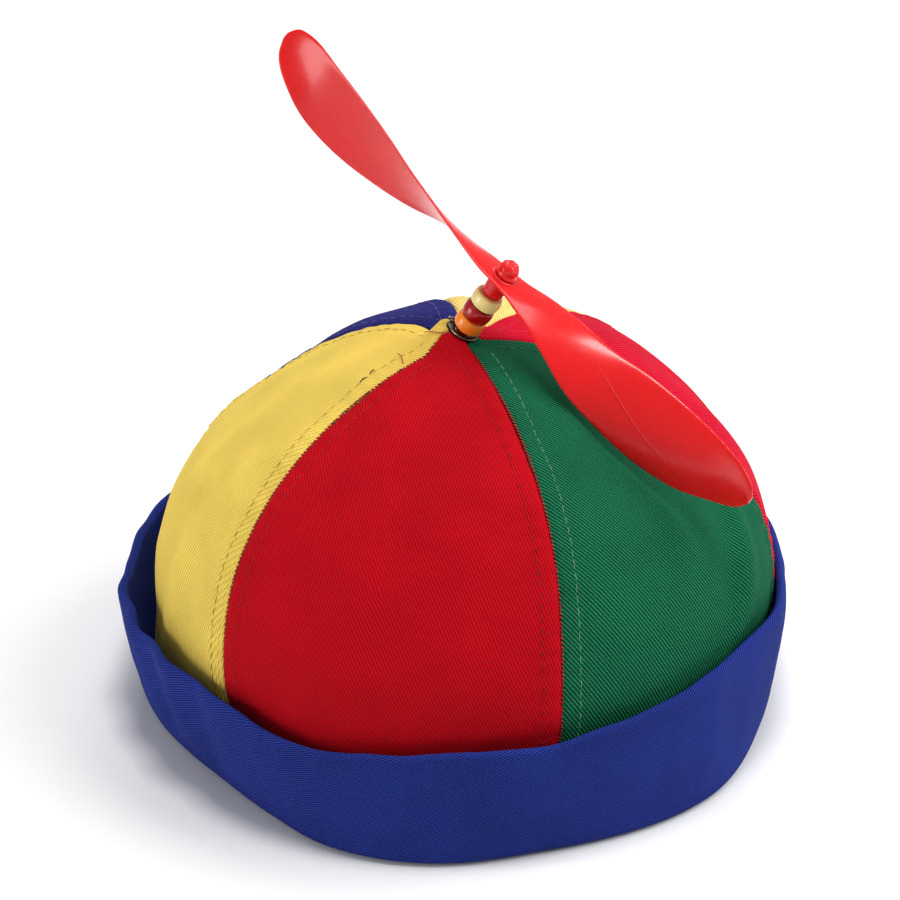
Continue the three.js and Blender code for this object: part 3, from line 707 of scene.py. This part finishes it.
def makeNicks():
    climb = np.linspace(handWork["nickFrom"], handWork["nickTo"], 900)
    turn = seamTurn(seams[0], climb)
    line = crownPlace(turn, climb)
    along = np.interp(climb, *runs[0])
    normal = clothNormal(turn, climb)
    draw = random.Random(41)
    parts = []
    start = along[0]
    while start < along[-1] - 1:
        start += handWork["nickPitch"] * draw.uniform(0.75, 1.25)
        middle, up = pointsAt(start, along, line), pointsAt(start, along, normal)
        ahead = pointsAt(start + 0.5, along, line) - middle
        aside = np.cross(up, ahead / np.linalg.norm(ahead))
        half = handWork["nickLength"] * draw.uniform(0.35, 0.6)
        t = np.linspace(-1, 1, 7)[:, None]
        bend = middle - up * (0.4 * t**2 - 0.04) - aside * (0.3 - half * t) + ahead * draw.uniform(-0.9, 0.9) * t
        parts.append(strandRings(bend, handWork["nick"] * (0.7 + 0.3 * np.cos(t[:, 0] * 1.4)), 6))
    points, faces = joined(parts)
    newPiece("seam_nicks", points, faces, threadMaterial("nick_thread", linear(handWork["nickColour"])))


nubs = {"pitch": 0.98, "reach": 0.26, "radius": 0.2, "sink": 0.24, "colour": (170, 8, 22)}


def makeNubs(name, seam, side):  # the red cloth's ribs end in small teeth over the seam
    climb = np.linspace(0.9, 1.97, 1400)
    turn = seamTurn(seams[seam], climb)
    line, normal = crownPlace(turn, climb), clothNormal(turn, climb)
    along = np.interp(climb, *runs[seam])
    draw = random.Random(70 + seam)
    parts = []
    start = along[0]
    while start < along[-1] - 1:
        start += nubs["pitch"] * draw.uniform(0.8, 1.2)
        middle, up = pointsAt(start, along, line), pointsAt(start, along, normal)
        ahead = (pointsAt(start + 0.5, along, line) - middle) * 2
        aside = np.cross(ahead, up) * side
        reach = nubs["reach"] * draw.uniform(0.7, 1.25)
        t = np.linspace(-1, 1, 5)[:, None]
        bend = middle + aside * (reach * t - 0.12) + ahead * (0.35 * t) - up * (nubs["sink"] + 0.16 * t**2)
        parts.append(strandRings(bend, nubs["radius"] * np.array([0.7, 1, 1, 0.9, 0.5]), 6))
    points, faces = joined(parts)
    newPiece(name, points, faces, threadMaterial(name + "_thread", linear(nubs["colour"])))


def makeStrands():
    for name, colour, radius, places in handWork["strands"]:
        line = np.array([onCloth(*place) for place in places])
        t = np.linspace(0, len(line) - 1, 30)
        rows = [[(i, point[axis]) for i, point in enumerate(line)] for axis in range(3)]
        smooth = np.stack([alongTable(row, t) for row in rows], -1)
        points, faces = strandRings(smooth, np.full(30, radius), 6)
        newPiece(name, points, faces, threadMaterial(name + "_thread", linear(handWork[colour])))


makeNicks()
makeNubs("red_edge_left", 0, 1)
makeNubs("red_edge_right", 1, -1)
makeStrands()
print("topstitching made")


# Cuff: one folded band, softly creased, its top edge rounded over the doubled cloth

cuffLooks = {
    "steps": 540, "perCorner": 6, "colour": (32, 46, 122), "grain": -66, "pitch": 0.6,
    # azimuth, width, depth, lean along the band
    "creases": [
        (-92, 3.2, -0.9, 2), (-85, 4, 0.8, -3), (-77, 3, -1.2, -4), (-70.5, 3, 1.0, -6), (-64, 3, -1.2, -5),
        (-57, 3.5, 0.9, -4), (-50, 3.5, -0.9, -3), (-43, 4, 0.5, -3), (-30, 6, -0.35, 4), (-12, 7, -0.3, 5),
        (8, 6, 0.3, -4),
        (26, 6, -0.35, 3), (44, 3, 0.7, 2), (52, 4, -0.5, 2), (66, 5, 0.35, 4), (84, 5, -0.45, 2),
        (104, 5, 0.5, 4), (121, 5, -0.5, -3), (139, 4, 0.5, 3), (156, 5, -0.6, 3), (171, 4, 0.5, -4),
        (180, 0.5, -0.5, 0), (188, 4, -0.6, 3), (203, 5, 0.6, -3), (219, 4, -0.6, 4), (236, 4, 0.6, 2),
        (252, 4, -0.6, -2),
    ],
}


def cuffCorners(azimuth):
    standOff = cuff["standOff"] * aroundTable(cuffWave, azimuth, 1)
    rise = aroundTable(cuffWave, azimuth, 2)
    bow = cuff["standOff"] * aroundTable(cuffWave, azimuth, 3)
    top = cuff["height"] * (1 + rise)
    wall, fold = cuff["foldWall"], cuff["foldRound"]
    legIn, legOut = cuff["gap"], cuff["gap"] + cuff["legWall"]
    near = -cap["wall"] - cuff["gap"]
    far = near - cap["wall"]
    half = cuff["legWall"] / 2

    def lean(up):
        share = np.clip((up - wall) / (top - wall), 0, 1)
        return standOff * share + bow * np.sin(math.pi * share)

    low = np.zeros_like(top)
    # out from the crown, up from the floor, how much it may crease
    return [
        (low + far, low + cuff["innerLeg"], 0), (low + far, low + 7, 0), (low + far, low + fold, 0),
        (low + far + fold * 0.16, low + fold * 0.32, 0), (low + far + fold / 2, low, 0),
        (low + (far + legOut) / 2 - 0.4, low, 0), (low + legOut - fold, low, 0),
        (low + legOut - fold / 3, low + fold / 3, 0.1), (low + legOut, low + fold, 0.3),
        (legOut + lean(top * 0.18), top * 0.18, 0.7), (legOut + lean(top * 0.35), top * 0.35, 1),
        (legOut + lean(top * 0.52), top * 0.52, 1), (legOut + lean(top * 0.68), top * 0.68, 1),
        (legOut + lean(top * 0.82), top * 0.82, 1), (legOut + lean(top - half) - 0.05, top - half, 0.9),
        (legOut - half * 0.35 + lean(top), top - half * 0.36, 0.8), (legIn + half + lean(top), top, 0.7),
        (legIn + half * 0.35 + lean(top), top - half * 0.36, 0.7), (legIn + lean(top - half), top - half, 0.6),
        (legIn + lean(top * 0.72), top * 0.72, 0.5), (legIn + lean(top * 0.45), top * 0.45, 0.3),
        (legIn + lean(top * 0.2), top * 0.2, 0.1), (low + legIn, low + wall, 0), (low + near, low + wall, 0),
        (low + near, low + 7, 0), (low + near, low + cuff["innerLeg"], 0),
    ]


def makeCuff():
    azimuth = 180 + np.arange(cuffLooks["steps"]) * 360 / cuffLooks["steps"]  # the band is joined at the back
    corners = cuffCorners(azimuth)
    count = len(corners)
    rim = ellipseRadius(azimuth)
    base = []
    for out, up, loose in corners:
        place = outward(azimuth) * (rim + swellAt(azimuth, up) + out)[:, None]
        place[:, 0] += swayAt(up)
        place[:, 2] = up
        base.append(place)
    base = np.stack(base, 1)
    loose = np.array([corner[2] for corner in corners])
    per = cuffLooks["perCorner"]
    rings, freedoms = [], []
    for corner in range(count):  # a rounded curve through the section's corners
        a, b, c, d = (base[:, (corner + shift) % count] for shift in (-1, 0, 1, 2))
        reachB, reachC = np.linalg.norm(c - a, axis=1), np.linalg.norm(d - b, axis=1)
        span = np.linalg.norm(c - b, axis=1)
        slopeB = (c - a) * np.minimum(span / np.maximum(reachB, 1e-6), 0.9)[:, None]
        slopeC = (d - b) * np.minimum(span / np.maximum(reachC, 1e-6), 0.9)[:, None]
        for part in range(per):
            t = part / per
            rings.append(b * (2 * t**3 - 3 * t**2 + 1) + slopeB * (t**3 - 2 * t**2 + t)
                         + c * (3 * t**2 - 2 * t**3) + slopeC * (t**3 - t**2))
            freedoms.append(loose[corner] * (1 - t) + loose[(corner + 1) % count] * t)
    grid = np.stack(rings, 1)
    freedom = np.array(freedoms)[None, :]
    up = grid[..., 2]
    turn = azimuth[:, None]
    crease = 0
    for middle, width, depth, slant in cuffLooks["creases"]:
        aside = np.mod(turn - middle - slant * (up / cuff["height"] - 0.5) + 180, 360) - 180
        crease = crease + depth * bump(aside, width) * smoothStep(up, 2, 16)
    crease = crease + 0.22 * ripple(grid, 24, 77) + 0.08 * ripple(grid, 8, 78)
    grid = grid + outward(azimuth)[:, None] * (crease * freedom)[..., None]
    lip = smoothStep(up, cuff["height"] * 0.75, cuff["height"])
    wave = 0.35 * np.sin(np.radians(turn) * 17 + 1) + 0.25 * np.sin(np.radians(turn) * 29 + 4)
    grid[..., 2] += wave * lip * freedom
    grid[..., 2] = np.maximum(grid[..., 2], 0)
    steps, around = grid.shape[:2]
    faces = []
    for step in range(steps):
        after = (step + 1) % steps
        for corner in range(around):
            following = (corner + 1) % around
            faces.append((step * around + corner, after * around + corner,
                          after * around + following, step * around + following))
    colour = linear(cuffLooks["colour"])
    # 0.3 and 1.7: painted shade in the cuff's rib valleys and painted light on its rib tops
    material = twillMaterial("cuff_twill", colour, 0.3, 1.7, cuffLooks["grain"], cuffLooks["pitch"])
    piece = newPiece("cuff_band", grid.reshape(-1, 3), faces, material)
    along = np.linalg.norm(np.roll(grid[:, around // 2], -1, 0) - grid[:, around // 2], axis=1)
    length = np.concatenate([[0], np.cumsum(along)])
    rise = np.linalg.norm(np.roll(grid, -1, 1) - grid, axis=2).mean(0)
    height = np.concatenate([[0], np.cumsum(rise)])
    step, corner = np.divmod(np.arange(steps * around), around)
    u = length[np.stack([step, step + 1, step + 1, step], 1)]
    v = height[np.stack([corner, corner, corner + 1, corner + 1], 1)]
    layer = piece.data.uv_layers.new(name="clothGrain")
    layer.data.foreach_set("uv", (np.stack([u, v], -1) * mm).astype(np.float32).ravel())
    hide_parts("cuff")


makeCuff()
print("cuff made")


# Post: eyelet, wire, beads, pin with its knob, in frames that follow the tilted cloth and the lean

upright = Vector((0, 0, 1))
leanPivot = upright.cross(Vector(leanWay))
eyeletTurn = Quaternion(leanPivot, math.radians(cap["tilt"]))
postTurn = Quaternion(leanPivot, math.radians(cap["lean"]))
postAxis = postTurn @ upright
apexCloth = Vector((apexAside, 0, cap["height"] + cap["lift"] - cap["wall"] / 2))

post = {
    "eyeletHole": 2.65, "eyeletFlange": 4.15, "eyeletReach": 1.25, "wire": 0.3, "coil": 1.95, "coilTurns": 1.5,
    "coilTail": 3, "coilTailShare": 0.12, "coilClimb": 0.5, "coilEndTurn": 165, "pin": 1.1, "retainer": 3.6,
    "retainerWall": 1,
    "bead": 3.7, "beadLength": 3.6, "knob": 2.8, "knobHeight": 3.8, "collar": 2.9, "collarLength": 5.4,
    "bladeWall": 1.3,
}
coilTilt = math.radians(cap["lean"] - cap["tilt"])
coilPitch = 2 * post["wire"] + cap["gap"] / 2
tailHeight = post["eyeletReach"] + cap["gap"] / 2 + post["wire"] - post["coil"] * math.sin(coilTilt)
coilStart = tailHeight - post["coilClimb"] - coilPitch * post["coilTurns"]
beadStart = tailHeight + post["wire"] + cap["gap"]
beadStep = post["beadLength"] + cap["gap"]
hubHeight = beadStart + 3 * beadStep + post["collarLength"]
knobStart = hubHeight + post["bladeWall"] / 2 + cap["gap"]
retainerTop = -(post["eyeletReach"] + cap["gap"] + post["retainer"] * math.sin(coilTilt)) / math.cos(coilTilt)


def turned(points, turn, place):  # own points, +Z along the axis, into the cap's millimetres
    matrix = np.array(turn.to_matrix())
    return np.asarray(points, float) @ matrix.T + np.array(place)


def latheShape(profile, sides, shape=None, closed=True):
    rings = []
    turn = np.arange(sides) / sides * 2 * math.pi
    for radius, up in profile:
        size = radius * (np.ones(sides) if shape is None else shape(turn, up))
        rings.append(np.stack([size * np.cos(turn), size * np.sin(turn), np.full(sides, up)], -1))
    return np.concatenate(rings), tubeFaces(len(profile), sides, closed)


def makeEyelet():
    hole, flange, reach = post["eyeletHole"], post["eyeletFlange"], post["eyeletReach"]
    profile = []
    for side in (-1, 1):
        roll = [(hole + 0.45 - 0.45 * math.cos(a), side * (reach - 0.4 + 0.4 * math.sin(a)))
                for a in np.linspace(0, math.pi / 2, 7)]
        brim = [(flange - 0.3 + 0.3 * math.sin(a), side * (reach - 0.2 + 0.2 * math.cos(a)))
                for a in np.linspace(0, math.pi, 8)]
        barrel = [(barrelRadius, side * (reach - 0.38))]
        section = roll + [(3.5, side * (reach - 0.03))] + brim + barrel
        profile += section if side < 0 else section[::-1]
    points, faces = latheShape(profile, 64)
    material = metalMaterial("eyelet_nickel", linear((128, 120, 108)), 0.26)
    piece = newPiece("crown_eyelet", turned(points, eyeletTurn, apexCloth), faces, material)
    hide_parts("eyelet")


def makeCoil():
    t = np.linspace(0, 1, 150)
    angle = 2 * math.pi * post["coilTurns"] * (t - 1) + math.radians(post["coilEndTurn"])
    share = post["coilTailShare"]
    tail = post["coilTail"] * (np.maximum(t - 1 + share, 0) / share) ** 2
    climb = post["coilClimb"] * smoothStep(t, 1 - 2.2 * share, 1 - 0.7 * share)
    radius = post["coil"] + tail + 0.04 * np.sin(angle * 1.7)
    line = np.stack([radius * np.cos(angle), radius * np.sin(angle), coilPitch * post["coilTurns"] * t + climb], -1)
    thick = np.full(len(t), post["wire"])
    thick[:2] *= (0.5, 0.9)
    thick[-2:] *= (0.9, 0.5)
    points, faces = strandRings(turned(line, postTurn, apexCloth + postAxis * coilStart), thick, 14)
    piece = newPiece("foot_wire", points, faces, metalMaterial("wire_steel", linear((190, 186, 176)), 0.24))
    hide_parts("foot_coil")


def beadProfile(radius, length, hole):
    outside = []
    for a in np.linspace(-math.pi / 2, math.pi / 2, 23):
        swell = abs(math.cos(a)) ** 0.42
        outside.append((radius * (0.74 + 0.26 * swell), length / 2 + length / 2 * math.sin(a) * (1 - 0.02 * swell)))
    return [(hole, 0.25), (hole + 0.25, 0)] + outside + [(hole + 0.25, length), (hole, length - 0.25)]


beads = {
    "sides": 56,
    "pieces": [
        ("orange_bead", "bead_orange", "bead_orange", (250, 136, 34), 0.25),
        ("dark_red_bead", "bead_red", "bead_dark_red", (166, 4, 8), 0.05),
        ("cream_bead", "bead_cream", "bead_cream", (244, 226, 150), 0.3),
    ],
}


def makeBeads():
    for index, (name, node, slot, colour, see) in enumerate(beads["pieces"]):
        profile = beadProfile(post["bead"], post["beadLength"], post["pin"] + cap["gap"])
        points, faces = latheShape(profile, beads["sides"])
        place = apexCloth + postAxis * (beadStart + index * beadStep)
        material = plasticMaterial(name + "_plastic", linear(colour), 0.22, see, 0.00003, 0.3)
        piece = newPiece(name, turned(points, postTurn, place), faces, material)
        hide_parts(node)


def makePin():
    knob, height, start = post["knob"], post["knobHeight"], knobStart
    disc = retainerTop - post["retainerWall"]
    profile = [(0.3, disc), (post["retainer"] - 0.2, disc), (post["retainer"], disc + 0.2),
               (post["retainer"], retainerTop - 0.2), (post["retainer"] - 0.2, retainerTop), (post["pin"], retainerTop)]
    profile += [(post["pin"], up) for up in np.linspace(retainerTop + 1, start - 0.05, 12)]
    profile += [(knob * r, start + height * up) for r, up in (
        (0.72, 0), (0.92, 0.01), (0.99, 0.06), (1, 0.13), (0.97, 0.2), (0.88, 0.24), (0.84, 0.28), (0.87, 0.36),
        (0.9, 0.46), (0.91, 0.58), (0.89, 0.7), (0.84, 0.8), (0.76, 0.88), (0.62, 0.95), (0.48, 0.985),
        (0.36, 0.98), (0.26, 0.95), (0.16, 0.92), (0.06, 0.91))]

    def facets(turn, up):
        share = np.clip((up - start - height * 0.22) / (height * 0.5), 0, 1)
        swirl = turn + 0.5 * share
        flats = 1 - 0.11 * np.abs(np.sin(swirl * 3)) - 0.025 * np.sin(swirl * 2 + 1)
        return 1 + (flats - 1) * share

    points, faces = latheShape(profile, 48, facets, closed=False)
    material = plasticMaterial("knob_plastic", linear((222, 26, 30)), 0.25, 0.06, 0.00006, 0.25)
    piece = newPiece("pin_and_knob", turned(points, postTurn, apexCloth), faces, material)
    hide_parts("axle")


makeEyelet()
makeCoil()
makeBeads()
makePin()
print("post made")


# Propeller: two twisted blades, thin at their edges, on a hub with a short collar

propeller = {
    "radius": 80.5, "chord": 19.8, "twist": 108, "wall": 1.3, "edge": 0.5, "camber": 1, "azimuth": 16.4,
    "camberReach": 0.83, "stations": 84,
    "mouldLine": [
        (0.36, 0.42), (0.402, 0.31), (0.475, 0.09), (0.552, -0.11), (0.63, -0.27), (0.737, -0.45), (0.8, -0.56)],
    "hubBoss": 3.4, "colour": (220, 20, 24),
    # share along, chord share, twist share, shift share
    "sections": [
        (0, 0.5, 0, 0), (0.06, 0.53, 0.045, 0.01), (0.14, 0.59, 0.165, 0.01), (0.25, 0.67, 0.31, -0.025),
        (0.38, 0.78, 0.49, -0.085), (0.52, 0.91, 0.62, -0.055), (0.66, 0.97, 0.715, -0.02),
        (0.8, 0.91, 0.8, 0.05), (0.9, 0.73, 0.89, 0.15), (0.96, 0.53, 0.95, 0.205), (0.985, 0.35, 0.98, 0.235),
        (1, 0.1, 1, 0.255),
    ],
}


def bladeFrame():
    downhill = Vector(leanPivot).cross(postAxis)
    turn = math.radians(propeller["azimuth"])
    out = downhill * math.cos(turn) - leanPivot * math.sin(turn)
    across = postAxis.cross(out)
    return np.array([out, across, postAxis])


def bladePlace(signed, place, face):  # signed share along, place across the chord, side of the wall
    share, side = np.abs(signed), np.where(signed < 0, -1.0, 1.0)
    chord = propeller["chord"] * alongTable(propeller["sections"], share, 1)
    twist = math.radians(propeller["twist"]) * alongTable(propeller["sections"], share, 2)
    shift = propeller["chord"] * alongTable(propeller["sections"], share, 3)
    camber = np.sin(math.pi / 2 * np.minimum(share / propeller["camberReach"], 1)) * chord / propeller["chord"]
    camber = camber * propeller["camber"]
    thick = propeller["edge"] + (propeller["wall"] - propeller["edge"]) * (1 - place**2)
    thick = thick / 2 * np.sqrt(np.maximum(1 - np.abs(place) ** 24, 0))
    across = chord / 2 * place + shift
    bulge = camber * (1 - place**2) + thick * face * side
    y = side * (np.cos(twist) * across - np.sin(twist) * bulge)
    z = np.sin(twist) * across + np.cos(twist) * bulge
    return np.stack(np.broadcast_arrays(propeller["radius"] * signed, y, z), -1)


def mouldLine():  # a faint raised line where the mould's halves met, over the right blade's upper face
    rows = propeller["mouldLine"]
    share = np.linspace(rows[0][0], rows[-1][0], 60)
    line = bladePlace(share, alongTable(rows, share), np.ones(60))
    radius = 0.16 * np.sin(np.linspace(0.05, math.pi - 0.05, 60)) ** 0.5
    return strandRings(line - np.array([0, 0, 0.07]), radius, 8)


def makePropeller():
    spread = np.linspace(-1, 1, 2 * propeller["stations"] + 1)
    spread = np.sign(spread) * (1 - (1 - np.abs(spread)) ** 1.5)
    spread = np.clip(spread, -0.9995, 0.9995)
    a = np.linspace(0, math.pi, 19)
    places = -np.cos(a)
    ringPlaces = np.concatenate([places, places[1:-1][::-1]])
    ringFaces = np.concatenate([-np.ones(19), np.ones(17)])
    grid = np.stack([bladePlace(s, ringPlaces * (1 if s >= 0 else -1), ringFaces * (1 if s >= 0 else -1))
                     for s in spread])
    blades = (grid.reshape(-1, 3), tubeFaces(*grid.shape[:2]))
    boss, wall, bore = propeller["hubBoss"], propeller["wall"], post["pin"] + cap["gap"]
    length, collar = post["collarLength"], post["collar"]
    hub = [(bore, -length), (collar * 0.8, -length), (collar * 0.87, -length + 0.12), (collar * 0.9, -length + 0.5)]
    hub += [(collar * (0.9 + 0.1 * t), -length + 0.5 + (length - 2.6) * t) for t in np.linspace(0.1, 1, 8)]
    hub += [(collar + (boss - collar) * (1 - math.cos(t)), -2.1 + 1.5 * math.sin(t))
            for t in np.linspace(0.3, math.pi / 2, 6)]
    hub += [(boss, -0.2), (boss, wall / 2 + 0.02), (boss - 0.12, wall / 2 + 0.16), (boss - 0.5, wall / 2 + 0.2),
            (bore + 0.5, wall / 2 + 0.2), (bore, wall / 2 + 0.1)]
    points, faces = joined([blades, latheShape(hub, 56), mouldLine()])
    place = np.array(apexCloth + postAxis * hubHeight)
    material = plasticMaterial("blade_plastic", linear(propeller["colour"]), 0.26, 0.06, 0.00004, 0.22)
    points = points @ bladeFrame() + place
    piece = newPiece("two_blade_propeller", points, faces, material, body="propeller")
    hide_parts("propeller")


makePropeller()
print("propeller made")


# Floor and soft studio light

studio = {
    "floor": 3.0, "floorHeight": -0.0002, "floorColour": (0.88, 0.88, 0.88, 1), "world": 0.38,
    # place, size, power, colour: the strongest stands on the right, the one overhead gives the blade's gleam
    "lamps": [
        ((0.95, -0.1, 0.9), 0.8, 11.5, (1, 1, 1)),
        ((0.06, -0.14, 1.3), 0.34, 7.6, (1, 1, 0.99)),
        ((-1.1, -0.3, 0.14), 0.5, 5.4, (1, 0.99, 0.98)),
        ((0.1, 0.8, 0.9), 0.7, 4.0, (1, 1, 1)),
    ],
}


def makeStudio():
    half = studio["floor"]
    mesh = bpy.data.meshes.new("paleFloor")
    corners = [(-half, -half), (half, -half), (half, half), (-half, half)]
    mesh.from_pydata([(*corner, studio["floorHeight"]) for corner in corners], [], [(0, 1, 2, 3)])
    material, tree, shader = blankMaterial("pale_floor")
    grain = noiseIn(tree, None, 3.0)
    tone = ramp(tree, grain, [(0.3, shade(studio["floorColour"], 0.99)), (0.7, studio["floorColour"])])
    tree.links.new(tone, shader.inputs["Base Color"])
    setInputs(shader, {"Roughness": 0.9, "Specular IOR Level": 0.1})
    mesh.materials.append(material)
    floor = bpy.data.objects.new("paleFloor", mesh)
    bpy.context.scene.collection.objects.link(floor)
    world = bpy.data.worlds.new("studioAir")
    world.use_nodes = True
    setInputs(world.node_tree.nodes["Background"], {"Color": (1, 1, 1, 1), "Strength": studio["world"]})
    bpy.context.scene.world = world
    for index, (place, size, power, colour) in enumerate(studio["lamps"]):
        data = bpy.data.lights.new("softBox" + str(index), "AREA")
        data.size = size
        data.energy = power
        data.color = colour
        lamp = bpy.data.objects.new("softBox" + str(index), data)
        bpy.context.scene.collection.objects.link(lamp)
        lamp.location = place
        lamp.rotation_mode = "QUATERNION"
        lamp.rotation_quaternion = (Vector((0, 0, 0.06)) - Vector(place)).to_track_quat("-Z", "Y")


makeStudio()
bpy.context.scene.view_settings.view_transform = "Standard"  # the cloth's dyes keep their full depth
print("floor and lights placed")
